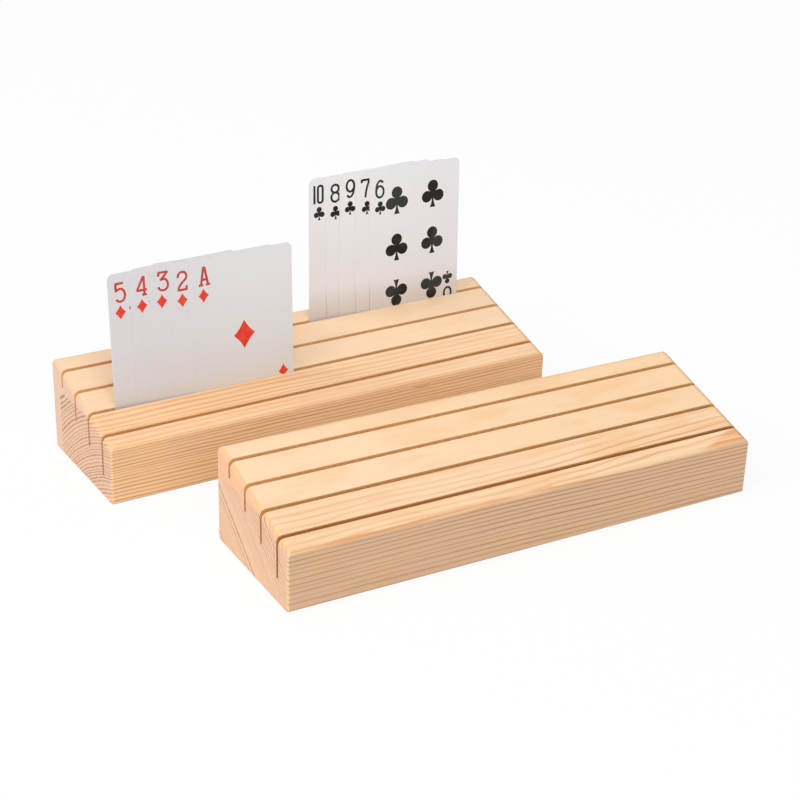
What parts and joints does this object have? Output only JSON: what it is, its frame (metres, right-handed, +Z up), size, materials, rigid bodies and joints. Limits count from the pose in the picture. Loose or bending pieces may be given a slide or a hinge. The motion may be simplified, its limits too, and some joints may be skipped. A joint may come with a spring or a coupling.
{
  "type": "playing card holder",
  "caption": "Pair of sloping slotted wooden blocks that stand playing cards upright on a table, with two fanned hands of cards in the rear one.",
  "frame": {"origin": "on the table, under the middle of the pair's bounding box", "axes": "+X along the rear holder, towards the right as seen from the front; +Y towards its taller back; +Z up"},
  "size_m": [0.2894, 0.2128, 0.1301],
  "materials": {
    "pine": "satin",
    "card": "satin"
  },
  "bodies": {
    "rear_holder": {"rear_holder": "pine"},
    "front_holder": {"front_holder": "pine"},
    "five_of_diamonds": {"five_of_diamonds": "card"},
    "four_of_diamonds": {"four_of_diamonds": "card"},
    "three_of_diamonds": {"three_of_diamonds": "card"},
    "two_of_diamonds": {"two_of_diamonds": "card"},
    "ace_of_diamonds": {"ace_of_diamonds": "card"},
    "ten_of_clubs": {"ten_of_clubs": "card"},
    "eight_of_clubs": {"eight_of_clubs": "card"},
    "nine_of_clubs": {"nine_of_clubs": "card"},
    "seven_of_clubs": {"seven_of_clubs": "card"},
    "six_of_clubs": {"six_of_clubs": "card"}
  },
  "joints": [
    {"name": "front_holder_lift", "type": "slide", "parent": "rear_holder", "child": "front_holder", "axis": [0, 0, 1], "range_m": [0, 0.05]},
    {"name": "five_of_diamonds_lift", "type": "slide", "parent": "rear_holder", "child": "five_of_diamonds", "axis": [0, 0, 1], "range_m": [0, 0.03]},
    {"name": "four_of_diamonds_lift", "type": "slide", "parent": "rear_holder", "child": "four_of_diamonds", "axis": [0, 0, 1], "range_m": [-0.00106, 0.03]},
    {"name": "three_of_diamonds_lift", "type": "slide", "parent": "rear_holder", "child": "three_of_diamonds", "axis": [0, 0, 1], "range_m": [-0.00093, 0.03]},
    {"name": "two_of_diamonds_lift", "type": "slide", "parent": "rear_holder", "child": "two_of_diamonds", "axis": [0, 0, 1], "range_m": [-0.00117, 0.03]},
    {"name": "ace_of_diamonds_lift", "type": "slide", "parent": "rear_holder", "child": "ace_of_diamonds", "axis": [0, 0, 1], "range_m": [-0.00025, 0.03]},
    {"name": "ten_of_clubs_lift", "type": "slide", "parent": "rear_holder", "child": "ten_of_clubs", "axis": [0, 0, 1], "range_m": [-0.00122, 0.03]},
    {"name": "eight_of_clubs_lift", "type": "slide", "parent": "rear_holder", "child": "eight_of_clubs", "axis": [0, 0, 1], "range_m": [-0.00108, 0.03]},
    {"name": "nine_of_clubs_lift", "type": "slide", "parent": "rear_holder", "child": "nine_of_clubs", "axis": [0, 0, 1], "range_m": [-0.00192, 0.03]},
    {"name": "seven_of_clubs_lift", "type": "slide", "parent": "rear_holder", "child": "seven_of_clubs", "axis": [0, 0, 1], "range_m": [-0.00054, 0.03]},
    {"name": "six_of_clubs_lift", "type": "slide", "parent": "rear_holder", "child": "six_of_clubs", "axis": [0, 0, 1], "range_m": [0, 0.03]}
  ]
}
